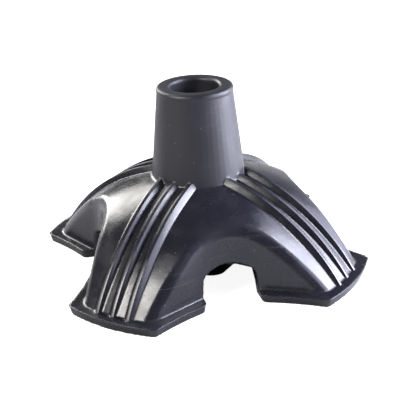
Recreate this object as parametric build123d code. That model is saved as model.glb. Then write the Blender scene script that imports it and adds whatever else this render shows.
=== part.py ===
from build123d import *
import os
from math import acos, asin, atan2, cos, degrees, hypot, pi, radians, sin, sqrt, tan

# A four-legged rubber base that stands a walking cane upright. It is one
# moulding: a tapered socket for the cane's foot on a domed body, four ribbed
# legs with flat flanged feet, and an arched opening between each pair of legs.
# Millimetres. The origin is on the floor, at the centre, with +Z up.
# Two legs lie along X and two along Y.

# Cane socket
CANE_DIAMETER = 19.0
BORE_FLOOR_HEIGHT = 14.0
SOCKET_TOP_HEIGHT = 71.3
SOCKET_TOP_RADIUS = 14.6
SOCKET_FOOT_RADIUS = 18.2
RIM_BEAD_HEIGHT = 1.9
RIM_BEAD_STAND = 0.35
RIM_ROUND = 1.5
RIM_SHOULDER = 0.4
MOUTH_CHAMFER = 0.8

# Domed body and legs
SHOULDER_HEIGHT = 36.2
LEG_REACH = 62.6
LEG_ARC_RADIUS = 92.0
SADDLE_FULLNESS = 0.085
SADDLE_REACH = 38.5
SADDLE_SPREAD = 22.0
SKIN_LEVELS = 8
CONTOUR_POINTS = 16
LEG_HALF_WIDTH = 14.85
LEG_FLARE_ANGLE = 18.0
WALL_DRAFT = 3.5
NOTCH_RADIUS = 26.0
EDGE_RADIUS = 3.6
WALL = 4.0

# Feet
FLANGE_THICKNESS = 3.4
FLANGE_DRAFT = 12.0
FLANGE_WIDTH = 3.45
FLANGE_SIDE_WIDTH = 4.0
FLANGE_SIDE_HOLLOW = 1.2
FLANGE_CORNER_BEVEL = 0.7
FLANGE_END_RADIUS = 2.5

# Arched openings between the legs
ARCH_FOOT_HALF_WIDTH = 10.85
ARCH_SPRING_HALF_WIDTH = 9.9
ARCH_SPRING_HEIGHT = 10.9
ARCH_HEIGHT = 14.6
ARCH_CORNER_RADIUS = 3.0
ARCH_DEPTH = 10.0

# Ribs along the top of each leg
RIB_COUNT = 3
RIB_PITCH = 6.55
RIB_CREST_WIDTH = 1.1
RIB_FLANK_SLOPE = 34.0
RIB_RISE_AT_SOCKET = 1.5
RIB_RISE_AT_FOOT = 0.8
RIB_ARC_RADIUS = 79.2
RIB_ROOT_DEPTH = 3.2

# Underside: a core below the socket, and a web under each leg
CORE_SIDE = 33.2
CORE_CORNER_RADIUS = 6.0
WEB_THICKNESS = 6.6

LEG_ANGLES = (0, 90, 180, 270)
SOCKET_WALL_MIDDLE = (CANE_DIAMETER / 2 + SOCKET_TOP_RADIUS) / 2
TOLERANCE = 0.01


def arc_centre(start, end, radius):
    """Centre (r, z) of the arc of this radius that bulges outwards from start to end."""
    chord_r, chord_z = end[0] - start[0], end[1] - start[1]
    chord = hypot(chord_r, chord_z)
    depth = sqrt(radius**2 - (chord / 2) ** 2)
    middle_r, middle_z = (start[0] + end[0]) / 2, (start[1] + end[1]) / 2
    return middle_r + depth * chord_z / chord, middle_z - depth * chord_r / chord


LEG_ARC_CENTRE = arc_centre(
    (SOCKET_FOOT_RADIUS, SHOULDER_HEIGHT), (LEG_REACH, FLANGE_THICKNESS), LEG_ARC_RADIUS
)
RIB_ARC_CENTRE = arc_centre(
    (SOCKET_FOOT_RADIUS, SHOULDER_HEIGHT + RIB_RISE_AT_SOCKET),
    (LEG_REACH + RIB_RISE_AT_FOOT, FLANGE_THICKNESS),
    RIB_ARC_RADIUS,
)


def contour(radius, fullness):
    """Level ring of the skin: a circle, pushed out between the legs by this share of its radius."""
    points = []
    for i in range(CONTOUR_POINTS):
        angle = 2 * pi * i / CONTOUR_POINTS
        r = radius * (1 + fullness * sin(2 * angle) ** 2)
        points.append((r * cos(angle), r * sin(angle)))
    with BuildLine() as ring:
        Spline(*points, periodic=True)
    return make_face(ring.line)


def fullness_at(leg_r):
    """How full the skin is between the legs, from where it passes this far out on a leg."""
    share = abs(leg_r - SADDLE_REACH) / SADDLE_SPREAD
    return SADDLE_FULLNESS * cos(pi / 2 * min(share, 1)) ** 2


def skin(inset):
    """Solid under the skin of the legs and the saddles between them, or this far inside it."""
    centre_r, centre_z = LEG_ARC_CENTRE
    radius = LEG_ARC_RADIUS - inset
    top = asin((SOCKET_WALL_MIDDLE - centre_r) / LEG_ARC_RADIUS)
    floor = acos(-centre_z / radius)
    levels = []
    for i in range(SKIN_LEVELS):
        slope = floor + (top - floor) * i / (SKIN_LEVELS - 1)
        fullness = fullness_at(centre_r + LEG_ARC_RADIUS * sin(slope))
        ring = contour(centre_r + radius * sin(slope), fullness)
        levels.append(Pos(Z=centre_z + radius * cos(slope)) * ring)
    return loft(levels)


def side_width(r, inset):
    """Half width of a leg's plan this far out along it, with its sides moved inwards."""
    flare = radians(LEG_FLARE_ANGLE)
    return LEG_HALF_WIDTH - inset / cos(flare) + tan(flare) * (LEG_REACH - r)


def side_start(inset, clearance):
    """Distance out along a leg at which its side is this far from the diagonal between legs."""
    return (clearance * sqrt(2) + side_width(0, inset)) / (1 + tan(radians(LEG_FLARE_ANGLE)))


def leg_outline(inset):
    """Plan of the four flared legs, with rounded notches between them, moved inwards."""
    notch = side_start(inset, 0)
    tip_r = LEG_REACH + 2 * FLANGE_WIDTH
    tip_w = side_width(tip_r, inset)
    points = []
    for angle in LEG_ANGLES:
        for r, w in ((notch, -notch), (tip_r, -tip_w), (tip_r, tip_w)):
            points.append((Rot(Z=angle) * Pos(r, w)).position)
    with BuildSketch() as outline:
        with BuildLine():
            Polyline(*points, close=True)
        make_face()
        inner = [v for v in outline.vertices() if hypot(v.X, v.Y) < LEG_REACH]
        fillet(inner, NOTCH_RADIUS + inset)
    return outline.sketch


def vault(inset):
    """The legs' solid form: the skin trimmed to the drafted plan of the legs."""
    return skin(inset) & extrude(leg_outline(inset), LEG_REACH, taper=WALL_DRAFT)


def edge_bevels():
    """Lengths of the bevel, and of the bevels on its own edges, that make up the edge radius."""
    eighth, sixteenth = tan(radians(22.5)), tan(radians(11.25))
    return EDGE_RADIUS * (1 - eighth), EDGE_RADIUS * (eighth - sixteenth)


def rounded_vault():
    """The legs' solid form with the edge between its skin and its walls rounded off."""
    form = vault(0)
    for length in edge_bevels():
        rim = [e for e in form.edges() if e.geom_type != GeomType.LINE and is_rim(e)]
        form = form.chamfer(length, None, rim)
    return form


def is_rim(edge):
    """True for an edge where the skin meets a wall: off the floor and off the legs' middles."""
    middle = edge @ 0.5
    return middle.Z > FLANGE_THICKNESS and abs(middle.Y) > RIB_PITCH


def web_face_distance():
    """Distance from the axis to the face of the body halfway between two legs, on the floor."""
    half_angle = radians(45 + LEG_FLARE_ANGLE)
    return side_start(0, 0) * sqrt(2) + NOTCH_RADIUS * (1 / sin(half_angle) - 1)


def foot():
    """Flat flange round the foot of the leg that lies on +X, its sides bowed inwards."""
    reach = LEG_REACH + FLANGE_WIDTH
    near = side_start(-FLANGE_SIDE_WIDTH, ARCH_FOOT_HALF_WIDTH / 2)
    middle = (near + reach) / 2
    side = [
        (near, side_width(near, -FLANGE_SIDE_WIDTH)),
        (middle, side_width(middle, FLANGE_SIDE_HOLLOW - FLANGE_SIDE_WIDTH)),
        (reach, side_width(reach, -FLANGE_SIDE_WIDTH)),
    ]
    other_side = [(r, -w) for r, w in side]
    with BuildSketch() as plan:
        with BuildLine():
            ThreePointArc(*side)
            ThreePointArc(*other_side)
            Line(side[-1], other_side[-1])
            Polyline(side[0], (0, 0), other_side[0])
        make_face()
        Circle(reach, mode=Mode.INTERSECT)
        corners = [v for v in plan.vertices() if hypot(v.X, v.Y) > reach - TOLERANCE]
        chamfer(corners, FLANGE_CORNER_BEVEL)
    plate = extrude(plan.sketch, FLANGE_THICKNESS)
    sides = plate.faces().filter_by(Axis.Z, reverse=True)
    return draft(sides, Plane.XY, -FLANGE_DRAFT)


def feet():
    """The flanges of all four legs."""
    return [Rot(Z=angle) * foot() for angle in LEG_ANGLES]


def arches():
    """Cutters for the arched openings, one through the body between each pair of legs."""
    left_foot, right_foot = (-ARCH_FOOT_HALF_WIDTH, 0), (ARCH_FOOT_HALF_WIDTH, 0)
    left_spring = (-ARCH_SPRING_HALF_WIDTH, ARCH_SPRING_HEIGHT)
    right_spring = (ARCH_SPRING_HALF_WIDTH, ARCH_SPRING_HEIGHT)
    with BuildPart() as cutter:
        with BuildSketch(Plane.YZ.offset(web_face_distance() - ARCH_DEPTH)) as face:
            with BuildLine():
                Polyline(left_spring, left_foot, right_foot, right_spring)
                ThreePointArc(right_spring, (0, ARCH_HEIGHT), left_spring)
            make_face()
            fillet(face.vertices().group_by(Axis.Y)[-1], ARCH_CORNER_RADIUS)
        extrude(amount=LEG_REACH)
    return [Rot(Z=angle + 45) * cutter.part for angle in LEG_ANGLES]


def core():
    """Square core below the socket, with a web from it to the foot of each leg."""
    with BuildSketch() as plan:
        RectangleRounded(CORE_SIDE, CORE_SIDE, CORE_CORNER_RADIUS)
        Rectangle(2 * LEG_REACH, WEB_THICKNESS)
        Rectangle(WEB_THICKNESS, 2 * LEG_REACH)
    return extrude(plan.sketch, LEG_REACH) & skin(WALL / 2)


def hollow():
    """The space under the body, left between its walls, the core and the webs."""
    return vault(WALL) - core()


def socket():
    """Tapered socket that holds the cane, with a softened bead round its mouth."""
    bead_radius = SOCKET_TOP_RADIUS + RIM_BEAD_STAND
    bead_foot = SOCKET_TOP_HEIGHT - RIM_BEAD_HEIGHT
    with BuildPart() as built:
        with BuildSketch(Plane.XZ):
            with BuildLine():
                Polyline(
                    (0, SOCKET_TOP_HEIGHT),
                    (0, SHOULDER_HEIGHT - WALL),
                    (SOCKET_FOOT_RADIUS, SHOULDER_HEIGHT - WALL),
                    (SOCKET_FOOT_RADIUS, SHOULDER_HEIGHT),
                    (SOCKET_TOP_RADIUS, bead_foot),
                    (bead_radius, bead_foot + RIM_BEAD_STAND),
                    (bead_radius - RIM_SHOULDER, SOCKET_TOP_HEIGHT - RIM_SHOULDER),
                    (bead_radius - RIM_ROUND, SOCKET_TOP_HEIGHT),
                    close=True,
                )
            make_face()
        revolve(axis=Axis.Z)
    return built.part


def rib(offset):
    """One raised rib along the top of the leg that lies on +X, this far to the side."""
    centre_r, centre_z = RIB_ARC_CENTRE
    crest, root = RIB_ARC_RADIUS, RIB_ARC_RADIUS - RIB_ROOT_DEPTH
    half_crest = RIB_CREST_WIDTH / 2
    half_root = half_crest + RIB_ROOT_DEPTH * tan(radians(RIB_FLANK_SLOPE))
    start = degrees(atan2(SOCKET_WALL_MIDDLE - centre_r, SHOULDER_HEIGHT - centre_z))
    finish = degrees(atan2(LEG_REACH - centre_r, -centre_z))
    with BuildPart() as swept:
        with BuildSketch(Plane.YZ):
            with BuildLine():
                Polyline(
                    (offset - half_root, root),
                    (offset - half_crest, crest),
                    (offset + half_crest, crest),
                    (offset + half_root, root),
                    close=True,
                )
            make_face()
        revolve(axis=Axis.Y, revolution_arc=finish - start)
    return Pos(centre_r, 0, centre_z) * Rot(Y=start) * swept.part


def ribs():
    """The ribs of all four legs."""
    offsets = [RIB_PITCH * (i - (RIB_COUNT - 1) / 2) for i in range(RIB_COUNT)]
    return [Rot(Z=angle) * rib(offset) for angle in LEG_ANGLES for offset in offsets]


def bore():
    """The hole that takes the foot of the cane, with a bevelled mouth."""
    radius = CANE_DIAMETER / 2
    with BuildPart() as hole:
        with BuildSketch(Plane.XZ):
            with BuildLine():
                Polyline(
                    (0, BORE_FLOOR_HEIGHT),
                    (radius, BORE_FLOOR_HEIGHT),
                    (radius, SOCKET_TOP_HEIGHT - MOUTH_CHAMFER),
                    (radius + MOUTH_CHAMFER, SOCKET_TOP_HEIGHT),
                    (0, SOCKET_TOP_HEIGHT),
                    close=True,
                )
            make_face()
        revolve(axis=Axis.Z)
    return hole.part


def flange_end_corners(body):
    """The short upright edges at the ends of the flanges, beside the arches."""
    corners = []
    for edge in body.edges():
        height = edge.bounding_box().size.Z
        middle = edge @ 0.5
        beside_arch = web_face_distance() < hypot(middle.X, middle.Y) < LEG_REACH - FLANGE_WIDTH
        if beside_arch and abs(height - FLANGE_THICKNESS) < TOLERANCE:
            corners.append(edge)
    return corners


def rubber_base():
    """The whole moulding."""
    body = rounded_vault() + feet() + socket() + ribs() - hollow() - arches() - bore()
    body = split(body, bisect_by=Plane.XY)
    return body.fillet(FLANGE_END_RADIUS, flange_end_corners(body))


os.makedirs("parts", exist_ok=True)
export_step(rubber_base(), "parts/rubber_base.step")
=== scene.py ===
import math

import bmesh
import bpy
from mathutils import Matrix, Vector
from mathutils.bvhtree import BVHTree


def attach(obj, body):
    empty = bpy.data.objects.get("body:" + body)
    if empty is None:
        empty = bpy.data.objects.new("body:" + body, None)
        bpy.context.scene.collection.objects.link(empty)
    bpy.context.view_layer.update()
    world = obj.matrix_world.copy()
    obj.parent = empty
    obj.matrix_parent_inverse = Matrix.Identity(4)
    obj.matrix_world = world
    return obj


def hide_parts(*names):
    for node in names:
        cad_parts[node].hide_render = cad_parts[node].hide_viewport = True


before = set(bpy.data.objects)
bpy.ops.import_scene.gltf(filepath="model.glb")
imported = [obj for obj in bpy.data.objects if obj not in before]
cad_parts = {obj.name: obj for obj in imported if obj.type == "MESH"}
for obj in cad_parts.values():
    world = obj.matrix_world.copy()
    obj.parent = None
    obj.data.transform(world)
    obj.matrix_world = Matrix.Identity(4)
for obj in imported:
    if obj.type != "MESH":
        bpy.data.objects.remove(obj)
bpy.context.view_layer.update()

MM = 0.001

# The legs' ribs, in millimetres. Their crests follow an arc, given by the distance from the
# socket's axis and the height of its two ends: at the foot of the socket and on the flange.
RIB_START = (18.2, 37.7)
RIB_END = (63.4, 3.4)
RIB_ARC_RADIUS = 79.2
RIB_PITCH = 6.55
RIB_CREST_WIDTH = 1.35
RIB_ROOT_WIDTH = 5.0
RIB_DEPTH = 2.6
RIB_EDGE_RADIUS = 0.22
RIB_PROUD = 0.12
RIB_INTO_SOCKET = 4.0  # degrees of arc hidden in the socket
RIBS_PER_LEG = 3
LEGS = 4

# The moulding's skin: voxel size in millimetres, smoothing passes, and faces left.
SKIN_VOXEL = 0.42
SKIN_PASSES = 3
SKIN_TRIANGLES = 194000
SEEN_WEIGHT = 0.05  # how freely faces that can be seen are merged; 1 is for hidden ones
MERGING_CONTRAST = 10.0
HOLLOW_HEIGHT = 45.0

# The flash along the flanges' top edges, in millimetres.
FLANGE_TOP = 3.4
FLASH_RADIUS = 0.14
FLASH_STEP = 0.6
FLASH_UNEVENNESS = 2.0
FLASH_SEED = 4.0
FLASH_EDGE_ANGLE = 60.0  # degrees; blunter edges carry none

# The rubber's colours, and how dull it is: on its glossiest and dullest patches, and how much
# more on the socket, on the flanges and on scuffs.
BLACK = (0.0080, 0.0080, 0.0125)
GREYER = (0.0120, 0.0120, 0.0175)
DUST = (0.10, 0.10, 0.105)
SCUFFED = (0.040, 0.040, 0.046)
ROUGHNESS = (0.21, 0.32)
DULLER_SOCKET = 0.22
DULLER_FLANGE = 0.04
DULLER_SCUFF = 0.2
SOCKET_STARTS = (35.5, 37.5)  # millimetres up, from leg to socket
FLANGE_ENDS = (3.0, 5.0)

# The studio, in metres. Directions are in degrees from +X towards +Y.
FLOOR_RADIUS = 2.2
FLOOR_STEPS = 64
SHADOW_REACH = 0.2
BACKDROP = 65.0  # middle of the white sweep
FLOOR_GLOW = 40.0  # brightest part of the floor
MIDDLE = Vector((0.0, 0.0, 30 * MM))

# Lamps: name, azimuth, elevation, width, height, radiance, colour, distance.
LAMPS = (
    ("right softbox", 34, 21, 0.34, 0.60, 21.8, (0.83, 0.85, 1.0), 0.6),
    ("low right strip", 33, 5, 0.20, 0.09, 15.0, (0.78, 0.79, 1.0), 0.35),
    ("sky window", 65, 22, 0.20, 0.45, 5.0, (0.74, 0.74, 1.0), 0.6),
    ("low right fill", 6, 16, 0.36, 0.34, 6.0, (0.74, 0.74, 1.0), 0.7),
    ("rear left softbox", 161, 26, 0.38, 0.72, 13.8, (1.0, 0.985, 0.95), 1.0),
    ("front left softbox", -113, 36, 0.38, 0.44, 23.0, (1.0, 0.98, 0.95), 1.0),
)


# ---------------------------------------------------------------- node helpers

def give(tree, socket, value):
    """Link a socket to the input, or set the input to a plain value."""
    if isinstance(value, bpy.types.NodeSocket):
        tree.links.new(value, socket)
    else:
        socket.default_value = value


def add(tree, kind, label=None, **inputs):
    node = tree.nodes.new(kind)
    if label:
        node.label = label
    for name, value in inputs.items():
        give(tree, node.inputs[name.replace("_", " ")], value)
    return node


def operation(tree, kind, name, first, second):
    node = tree.nodes.new(kind)
    node.operation = name
    for socket, value in zip(node.inputs, (first, second)):
        if value is not None:
            give(tree, socket, value)
    return node.outputs


def math_node(tree, name, first, second=None):
    return operation(tree, "ShaderNodeMath", name, first, second)[0]


def vector_node(tree, name, first, second=None):
    """Outputs of a vector operation: Vector, and Value for a length or a dot product."""
    return operation(tree, "ShaderNodeVectorMath", name, first, second)


def ramp(tree, value, low, high, to_low=0.0, to_high=1.0):
    """Value from to_low to to_high as the input goes from low to high, smoothly."""
    node = add(tree, "ShaderNodeMapRange", Value=value,
               From_Min=low, From_Max=high, To_Min=to_low, To_Max=to_high)
    node.interpolation_type = "SMOOTHSTEP"
    return node.outputs[0]


def mix_colour(tree, share, first, second):
    node = tree.nodes.new("ShaderNodeMix")
    node.data_type = "RGBA"
    tree.links.new(share, node.inputs[0])
    for socket, value in ((node.inputs[6], first), (node.inputs[7], second)):
        give(tree, socket, (*value, 1.0) if isinstance(value, tuple) else value)
    return node.outputs[2]


def mix_shaders(tree, label, share, first, second):
    node = add(tree, "ShaderNodeMixShader", label)
    for socket, value in zip(node.inputs, (share, first, second)):
        tree.links.new(value, socket)
    return node.outputs[0]


def heights(tree, place):
    """Height of a position or a direction."""
    return add(tree, "ShaderNodeSeparateXYZ", Vector=place).outputs["Z"]


def emptied(owner):
    """The owner's node tree, with nothing in it."""
    owner.use_nodes = True
    owner.node_tree.nodes.clear()
    return owner.node_tree


def finish_with(tree, kind, shader):
    tree.links.new(shader, tree.nodes.new(kind).inputs["Surface"])


def shader_group(name, inputs, outputs):
    """New group with numbers in and out: the group, its inputs, outputs and object position."""
    group = bpy.data.node_groups.new(name, "ShaderNodeTree")
    for names, way in ((inputs, "INPUT"), (outputs, "OUTPUT")):
        for socket in names:
            made = group.interface.new_socket(socket, in_out=way, socket_type="NodeSocketFloat")
            if way == "INPUT":
                made.default_value = inputs[socket]
    given = group.nodes.new("NodeGroupInput").outputs
    out = group.nodes.new("NodeGroupOutput").inputs
    return group, given, out, group.nodes.new("ShaderNodeTexCoord").outputs["Object"]


def use(tree, group):
    node = tree.nodes.new("ShaderNodeGroup")
    node.node_tree = group
    return node.outputs


def geometry_tree(name, inputs, output):
    """New tree of geometry nodes: the tree, its inputs' identifiers, inputs and output."""
    tree = bpy.data.node_groups.new(name, "GeometryNodeTree")
    identifiers = {}
    for socket, kind in inputs.items():
        made = tree.interface.new_socket(socket, in_out="INPUT", socket_type="NodeSocket" + kind)
        identifiers[socket] = made.identifier
    tree.interface.new_socket(output, in_out="OUTPUT", socket_type="NodeSocketGeometry")
    given = tree.nodes.new("NodeGroupInput").outputs
    return tree, identifiers, given, tree.nodes.new("NodeGroupOutput").inputs[0]


def geometry(tree, kind, **inputs):
    return add(tree, "GeometryNode" + kind, **inputs)


def realized(tree, made, material, out):
    """End a tree with real faces in one material."""
    real = geometry(tree, "RealizeInstances", Geometry=made)
    finish = geometry(tree, "SetMaterial", Geometry=real.outputs[0], Material=material)
    tree.links.new(finish.outputs[0], out)


# ---------------------------------------------------------------- rubber finish

def moulded_grain():
    """Skin of moulded rubber: a fine height, slow waves, and patches of duller skin."""
    group, given, out, place = shader_group(
        "moulded grain",
        {"Grain Size": 2500.0, "Wave Size": 120.0, "Patch Size": 90.0},
        ("Height", "Waves", "Patches"))
    for size, result, detail, rough in (("Grain Size", "Height", 3.0, 0.6),
                                        ("Wave Size", "Waves", 2.0, 0.5),
                                        ("Patch Size", "Patches", 4.0, 0.6)):
        noise = add(group, "ShaderNodeTexNoise", Vector=place, Scale=given[size],
                    Detail=detail, Roughness=rough)
        group.links.new(noise.outputs["Fac"], out[result])
    return group


def dust_specks():
    """Mask of small round specks, in a share of the cells that fill space."""
    group, given, out, place = shader_group(
        "dust specks", {"Speck Spacing": 420.0, "Speck Radius": 0.08, "Share": 0.22}, ("Mask",))
    cells = add(group, "ShaderNodeTexVoronoi", Vector=place, Scale=given["Speck Spacing"])
    within = math_node(group, "LESS_THAN", cells.outputs["Distance"], given["Speck Radius"])
    draw = add(group, "ShaderNodeSeparateColor", Color=cells.outputs["Color"]).outputs[0]
    chosen = math_node(group, "LESS_THAN", draw, given["Share"])
    group.links.new(math_node(group, "MULTIPLY", within, chosen), out["Mask"])
    return group


def scuff_marks():
    """Mask of fine level scuffs, gathered in patches."""
    group, given, out, place = shader_group(
        "scuff marks",
        {"Mark Length": 55.0, "Mark Fineness": 900.0, "Patch Size": 45.0, "Share": 0.5},
        ("Mask",))
    size = add(group, "ShaderNodeCombineXYZ", X=given["Mark Length"], Y=given["Mark Length"],
               Z=given["Mark Fineness"])
    stretched = vector_node(group, "MULTIPLY", place, size.outputs[0])["Vector"]
    lines = add(group, "ShaderNodeTexNoise", Vector=stretched,
                Scale=1.0, Detail=3.0, Distortion=0.6)
    patches = add(group, "ShaderNodeTexNoise", Vector=place, Scale=given["Patch Size"],
                  Detail=2.0)
    thin = ramp(group, lines.outputs["Fac"], 0.58, 0.72)
    gathered = ramp(group, patches.outputs["Fac"], 0.45, 0.65)
    marks = math_node(group, "MULTIPLY", thin, gathered)
    group.links.new(math_node(group, "MULTIPLY", marks, given["Share"]), out["Mask"])
    return group


def black_rubber():
    material = bpy.data.materials.new("black rubber")
    tree = emptied(material)
    grain = use(tree, moulded_grain())
    specks = use(tree, dust_specks())["Mask"]
    scuffs = use(tree, scuff_marks())["Mask"]
    colour = mix_colour(tree, grain["Patches"], BLACK, GREYER)
    colour = mix_colour(tree, specks, colour, DUST)
    colour = mix_colour(tree, scuffs, colour, SCUFFED)

    height = heights(tree, tree.nodes.new("ShaderNodeTexCoord").outputs["Object"])
    socket_low, socket_high = SOCKET_STARTS
    flange_low, flange_high = FLANGE_ENDS
    rough = ramp(tree, grain["Patches"], 0.35, 0.65, *ROUGHNESS)
    for more in (ramp(tree, height, socket_low * MM, socket_high * MM, 0.0, DULLER_SOCKET),
                 ramp(tree, height, flange_low * MM, flange_high * MM, DULLER_FLANGE, 0.0),
                 ramp(tree, scuffs, 0.0, 1.0, 0.0, DULLER_SCUFF)):
        rough = math_node(tree, "ADD", rough, more)

    waves = add(tree, "ShaderNodeBump", "slow waves", Strength=0.25, Distance=0.3 * MM,
                Height=grain["Waves"])
    bump = add(tree, "ShaderNodeBump", "fine grain", Strength=0.12, Distance=0.05 * MM,
               Height=grain["Height"], Normal=waves.outputs[0])
    shader = add(tree, "ShaderNodeBsdfPrincipled", IOR=1.5, Base_Color=colour,
                 Roughness=rough, Normal=bump.outputs[0])
    finish_with(tree, "ShaderNodeOutputMaterial", shader.outputs[0])
    return material


# ---------------------------------------------------------------- rubber pieces

def object_with(mesh, name):
    made = bpy.data.objects.new(name, mesh)
    bpy.context.scene.collection.objects.link(made)
    return made


def finished_mesh(piece):
    """The piece's mesh with its modifiers applied."""
    bpy.context.view_layer.update()
    evaluated = piece.evaluated_get(bpy.context.evaluated_depsgraph_get())
    return bpy.data.meshes.new_from_object(evaluated)


def grown(name, source, tree, identifiers, values):
    """Piece that a tree of geometry nodes makes from a source mesh."""
    rough = object_with(source, name + " source")
    modifier = rough.modifiers.new(name, "NODES")
    modifier.node_group = tree
    for socket, value in values.items():
        modifier[identifiers[socket]] = value
    made = finished_mesh(rough)
    bpy.data.objects.remove(rough)
    made.shade_smooth()
    return object_with(made, name)


def merged_copy(node):
    """The node's mesh with its loose triangles joined."""
    form = bmesh.new()
    form.from_mesh(node.data)
    bmesh.ops.remove_doubles(form, verts=form.verts, dist=0.002 * MM)
    mesh = bpy.data.meshes.new("merged")
    form.to_mesh(mesh)
    form.free()
    return mesh


def underside(mesh):
    """Vertices inside the hollow, which only show from below."""
    tree = BVHTree.FromPolygons([v.co for v in mesh.vertices],
                                [p.vertices for p in mesh.polygons])
    upward = Vector((0.0, 0.0, 1.0))
    return [v.index for v in mesh.vertices
            if v.co.z > MM and tree.ray_cast(v.co + v.normal * MM, upward, HOLLOW_HEIGHT * MM)[0]]


def moulding(merged, rubber):
    """The whole rubber base as one closed skin, its edges softened as a mould leaves them."""
    piece = object_with(merged, "rubber_moulding")
    skin = piece.modifiers.new("one skin", "REMESH")
    skin.mode = "VOXEL"
    skin.voxel_size = SKIN_VOXEL * MM
    smooth = piece.modifiers.new("soft edges", "SMOOTH")
    smooth.factor = 0.5
    smooth.iterations = SKIN_PASSES
    dense = finished_mesh(piece)
    piece.modifiers.clear()
    piece.data = dense

    hidden = piece.vertex_groups.new(name="underside")
    hidden.add(underside(dense), 1.0, "REPLACE")
    hidden.add([v.index for v in dense.vertices if not v.groups], SEEN_WEIGHT, "REPLACE")
    fewer = piece.modifiers.new("fewer faces", "DECIMATE")
    fewer.vertex_group = hidden.name
    fewer.vertex_group_factor = MERGING_CONTRAST
    fewer.ratio = SKIN_TRIANGLES / (2 * len(dense.polygons))
    light = finished_mesh(piece)
    piece.modifiers.clear()
    piece.vertex_groups.clear()

    light.materials.clear()
    light.materials.append(rubber)
    light.polygons.foreach_set("material_index", [0] * len(light.polygons))
    light.shade_smooth()
    piece.data = light
    return piece


def rib_arc():
    """Centre of the ribs' arc, and the angles from upright at which it starts and ends."""
    start, end = Vector(RIB_START), Vector(RIB_END)
    chord = end - start
    sink = math.sqrt(RIB_ARC_RADIUS ** 2 - (chord.length / 2) ** 2)
    centre = (start + end) / 2 + Vector((chord.y, -chord.x)).normalized() * sink
    angles = [math.atan2(x - centre.x, z - centre.y) for x, z in (start, end)]
    return centre, angles


def rib_tree():
    """Ribs with flat flanks side by side along an arc, repeated on every leg."""
    tree, identifiers, given, out = geometry_tree("leg ribs", {
        "Arc Radius": "Float", "Arc Start": "Float", "Arc Sweep": "Float",
        "Arc Centre": "Vector", "Crest Width": "Float", "Root Width": "Float",
        "Depth": "Float", "Edge Radius": "Float", "Pitch": "Float",
        "Ribs": "Int", "Legs": "Int", "Finish": "Material"}, "Ribs")
    path = geometry(tree, "CurveArc", Resolution=72, Radius=given["Arc Radius"],
                    Start_Angle=given["Arc Start"], Sweep_Angle=given["Arc Sweep"])
    section = geometry(tree, "CurvePrimitiveQuadrilateral")
    section.mode = "TRAPEZOID"
    for name, size in (("Height", given["Depth"]), ("Bottom Width", given["Root Width"]),
                       ("Top Width", given["Crest Width"]), ("Offset", 0.0)):
        give(tree, section.inputs[name], size)
    eased = geometry(tree, "FilletCurve")
    eased.mode = "POLY"
    for name, value in (("Curve", section.outputs[0]), ("Count", 3),
                        ("Radius", given["Edge Radius"])):
        give(tree, eased.inputs[name], value)
    half_depth = math_node(tree, "MULTIPLY", given["Depth"], -0.5)
    sunk = add(tree, "ShaderNodeCombineXYZ", X=half_depth)
    profile = geometry(tree, "Transform", Geometry=eased.outputs[0],
                       Translation=sunk.outputs[0], Rotation=(0.0, 0.0, -math.pi / 2))
    bar = geometry(tree, "CurveToMesh", Curve=path.outputs[0],
                   Profile_Curve=profile.outputs[0], Fill_Caps=True)
    upright = geometry(tree, "Transform", Geometry=bar.outputs[0],
                       Translation=given["Arc Centre"], Rotation=(math.pi / 2, 0.0, 0.0))

    step = add(tree, "ShaderNodeCombineXYZ", Y=given["Pitch"]).outputs[0]
    across = math_node(tree, "ADD", math_node(tree, "MULTIPLY", given["Ribs"], -0.5), 0.5)
    first = vector_node(tree, "SCALE", step)
    give(tree, first["Vector"].node.inputs["Scale"], across)
    row = geometry(tree, "MeshLine", Count=given["Ribs"], Offset=step,
                   Start_Location=first["Vector"])
    one_leg = geometry(tree, "InstanceOnPoints", Points=row.outputs[0],
                       Instance=upright.outputs[0])

    spokes = geometry(tree, "MeshLine", Count=given["Legs"], Offset=(0.0, 0.0, 0.0))
    turn = math_node(tree, "DIVIDE", math.tau, given["Legs"])
    index = tree.nodes.new("GeometryNodeInputIndex").outputs[0]
    about = add(tree, "ShaderNodeCombineXYZ", Z=math_node(tree, "MULTIPLY", index, turn))
    all_legs = geometry(tree, "InstanceOnPoints", Points=spokes.outputs[0],
                        Instance=one_leg.outputs[0], Rotation=about.outputs[0])
    realized(tree, all_legs.outputs[0], given["Finish"], out)
    return tree, identifiers


def leg_ribs(rubber):
    """The ribs of all four legs, with flat flanks and eased crests."""
    centre, (start, finish) = rib_arc()
    top = start - math.radians(RIB_INTO_SOCKET)
    return grown("leg_ribs", bpy.data.meshes.new("no mesh"), *rib_tree(), {
        "Arc Radius": (RIB_ARC_RADIUS + RIB_PROUD) * MM,
        "Arc Start": math.pi / 2 - finish,
        "Arc Sweep": finish - top,
        "Arc Centre": (centre.x * MM, 0.0, centre.y * MM),
        "Crest Width": RIB_CREST_WIDTH * MM,
        "Root Width": RIB_ROOT_WIDTH * MM,
        "Depth": RIB_DEPTH * MM,
        "Edge Radius": RIB_EDGE_RADIUS * MM,
        "Pitch": RIB_PITCH * MM,
        "Ribs": RIBS_PER_LEG,
        "Legs": LEGS,
        "Finish": rubber})


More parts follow.
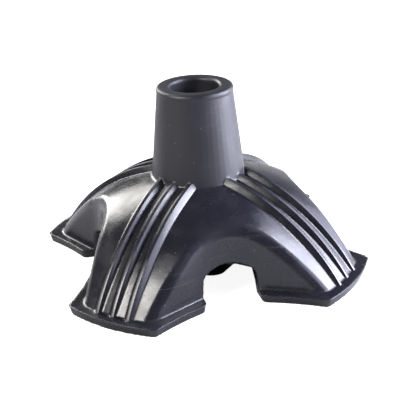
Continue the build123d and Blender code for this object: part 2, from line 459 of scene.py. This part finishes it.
def flash_tree():
    """Thin uneven line of flash along the sharp edges at one height of a mesh."""
    tree, identifiers, given, out = geometry_tree("moulding flash", {
        "Moulding": "Geometry", "Edge Height": "Float", "Edge Angle": "Float",
        "Flash Radius": "Float", "Unevenness": "Float", "Step": "Float",
        "Seed": "Float", "Finish": "Material"}, "Flash")
    place = tree.nodes.new("GeometryNodeInputPosition").outputs[0]
    away = math_node(tree, "SUBTRACT", heights(tree, place), given["Edge Height"])
    level = math_node(tree, "LESS_THAN", math_node(tree, "ABSOLUTE", away), 0.02 * MM)
    angle = tree.nodes.new("GeometryNodeInputMeshEdgeAngle").outputs["Signed Angle"]
    sharp = math_node(tree, "GREATER_THAN", angle, given["Edge Angle"])
    path = geometry(tree, "MeshToCurve", Mesh=given["Moulding"],
                    Selection=math_node(tree, "MULTIPLY", level, sharp))
    even = geometry(tree, "ResampleCurve")
    even.mode = "LENGTH"
    for name, value in (("Curve", path.outputs[0]), ("Length", given["Step"])):
        give(tree, even.inputs[name], value)

    noise = tree.nodes.new("ShaderNodeTexNoise")
    noise.noise_dimensions = "4D"
    for name, value in (("Vector", place), ("W", given["Seed"]), ("Scale", 140.0),
                        ("Detail", 3.0)):
        give(tree, noise.inputs[name], value)
    swing = math_node(tree, "SUBTRACT", noise.outputs["Fac"], 0.5)
    girth = math_node(tree, "ADD", math_node(tree, "MULTIPLY", swing, given["Unevenness"]), 1.0)
    thick = geometry(tree, "SetCurveRadius", Curve=even.outputs[0],
                     Radius=math_node(tree, "MAXIMUM", girth, 0.3))
    profile = geometry(tree, "CurvePrimitiveCircle", Resolution=6, Radius=given["Flash Radius"])
    line = geometry(tree, "CurveToMesh", Curve=thick.outputs[0],
                    Profile_Curve=profile.outputs[0], Fill_Caps=True)
    realized(tree, line.outputs[0], given["Finish"], out)
    return tree, identifiers


def flange_flash(merged, rubber):
    """Flash left by the mould along the top edges of the flanges."""
    return grown("flange_flash", merged, *flash_tree(), {
        "Edge Height": FLANGE_TOP * MM,
        "Edge Angle": math.radians(FLASH_EDGE_ANGLE),
        "Flash Radius": FLASH_RADIUS * MM,
        "Unevenness": FLASH_UNEVENNESS,
        "Step": FLASH_STEP * MM,
        "Seed": FLASH_SEED,
        "Finish": rubber})


# ---------------------------------------------------------------- studio

def direction(azimuth, elevation):
    a, e = math.radians(azimuth), math.radians(elevation)
    return Vector((math.cos(e) * math.cos(a), math.cos(e) * math.sin(a), math.sin(e)))


def seen_directly(tree):
    """1 for rays that show a surface as it is: camera, mirror and glass rays."""
    path = tree.nodes.new("ShaderNodeLightPath").outputs
    total = math_node(tree, "ADD", path["Is Camera Ray"], path["Is Glossy Ray"])
    total = math_node(tree, "ADD", total, path["Is Transmission Ray"])
    return math_node(tree, "MINIMUM", total, 1.0)


def floor_material():
    """Matt white that keeps a soft shadow near the object and is plain white further out.

    In the rubber's reflections the floor is brightest behind the object, to the right.
    """
    material = bpy.data.materials.new("white floor")
    tree = emptied(material)
    place = tree.nodes.new("ShaderNodeTexCoord").outputs["Object"]
    outward = vector_node(tree, "NORMALIZE", place)["Vector"]
    aside = vector_node(tree, "DOT_PRODUCT", outward, direction(FLOOR_GLOW, 0))["Value"]
    behind = ramp(tree, aside, 0.5, 0.9)
    camera_ray = tree.nodes.new("ShaderNodeLightPath").outputs["Is Camera Ray"]
    seen = ramp(tree, camera_ray, 0.0, 1.0, 0.0, 0.92)
    lift = add(tree, "ShaderNodeEmission", Strength=math_node(tree, "MAXIMUM", behind, seen))

    matt = add(tree, "ShaderNodeBsdfDiffuse", Color=(0.5, 0.5, 0.5, 1.0)).outputs[0]
    lifted = tree.nodes.new("ShaderNodeAddShader")
    tree.links.new(matt, lifted.inputs[0])
    tree.links.new(lift.outputs[0], lifted.inputs[1])
    distance = vector_node(tree, "LENGTH", place)["Value"]
    glow = tree.nodes.new("ShaderNodeEmission").outputs[0]
    shown = mix_shaders(tree, "shadow kept near the object",
                        ramp(tree, distance, SHADOW_REACH, 0.5 * FLOOR_RADIUS),
                        lifted.outputs[0], glow)
    by_ray = mix_shaders(tree, "plain white only where it is seen",
                         seen_directly(tree), matt, shown)
    finish_with(tree, "ShaderNodeOutputMaterial", by_ray)
    return material


def white_surround(ambient, dark, front):
    """White sweep behind the object, up to the height of the lamps, in a dark room."""
    world = bpy.data.worlds.new("white surround")
    bpy.context.scene.world = world
    tree = emptied(world)
    toward = tree.nodes.new("ShaderNodeTexCoord").outputs["Generated"]
    low = ramp(tree, heights(tree, toward), 0.12, 0.42, 1.0, 0.0)
    behind = vector_node(tree, "DOT_PRODUCT", toward, direction(BACKDROP, 0))["Value"]
    sweep = ramp(tree, behind, 0.3, 0.9, front, 1.0)
    shown = math_node(tree, "ADD", math_node(tree, "MULTIPLY", low, sweep), dark)
    camera_ray = tree.nodes.new("ShaderNodeLightPath").outputs["Is Camera Ray"]
    shown = math_node(tree, "MAXIMUM", shown, camera_ray)
    over_ambient = math_node(tree, "SUBTRACT", shown, ambient)
    strength = math_node(tree, "MULTIPLY", seen_directly(tree), over_ambient)
    background = add(tree, "ShaderNodeBackground", Color=(1.0, 1.0, 1.0, 1.0),
                     Strength=math_node(tree, "ADD", strength, ambient))
    finish_with(tree, "ShaderNodeOutputWorld", background.outputs[0])


def floor():
    angles = [math.tau * k / FLOOR_STEPS for k in range(FLOOR_STEPS)]
    ring = [(FLOOR_RADIUS * math.cos(a), FLOOR_RADIUS * math.sin(a), 0.0) for a in angles]
    mesh = bpy.data.meshes.new("floor")
    mesh.from_pydata(ring, [], [list(range(FLOOR_STEPS))])
    mesh.materials.append(floor_material())
    object_with(mesh, "floor")


def softbox(name, azimuth, elevation, width, height, radiance, colour, distance):
    """Rectangular lamp facing the object; radiance is what a mirror would show of it."""
    lamp = bpy.data.lights.new(name, "AREA")
    lamp.shape = "RECTANGLE"
    lamp.size, lamp.size_y = width, height
    lamp.energy = radiance * width * height * math.pi
    lamp.color = colour
    stand = object_with(lamp, name)
    stand.location = MIDDLE + direction(azimuth, elevation) * distance
    stand.rotation_euler = (MIDDLE - stand.location).to_track_quat("-Z", "Y").to_euler()
    stand.visible_camera = False


def camera(azimuth, elevation, roll, distance, lens, shift):
    data = bpy.data.cameras.new("camera")
    data.sensor_width = 36.0
    data.lens = lens
    data.shift_x, data.shift_y = shift
    eye = object_with(data, "camera")
    back = direction(azimuth, elevation)
    right = Vector((0, 0, 1)).cross(back).normalized()
    up = back.cross(right)
    turn = Matrix((right, up, back)).transposed() @ Matrix.Rotation(math.radians(roll), 3, "Z")
    eye.matrix_world = Matrix.Translation(MIDDLE + back * distance) @ turn.to_4x4()
    bpy.context.scene.camera = eye


# ---------------------------------------------------------------- scene

camera(azimuth=-58.44, elevation=22.85, roll=-2.74, distance=0.37697,
       lens=82.4088, shift=(0.021394, -0.056106))
floor()
white_surround(ambient=0.11, dark=0.05, front=0.08)
for lamp in LAMPS:
    softbox(*lamp)

rubber = black_rubber()
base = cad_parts["rubber_base"]
base.data.materials.clear()
base.data.materials.append(rubber)
merged = merged_copy(base)
for piece in (moulding(merged, rubber), leg_ribs(rubber), flange_flash(merged, rubber)):
    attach(piece, "root")
    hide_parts("rubber_base")

bpy.context.scene.view_settings.view_transform = "Standard"

bpy.context.view_layer.update()
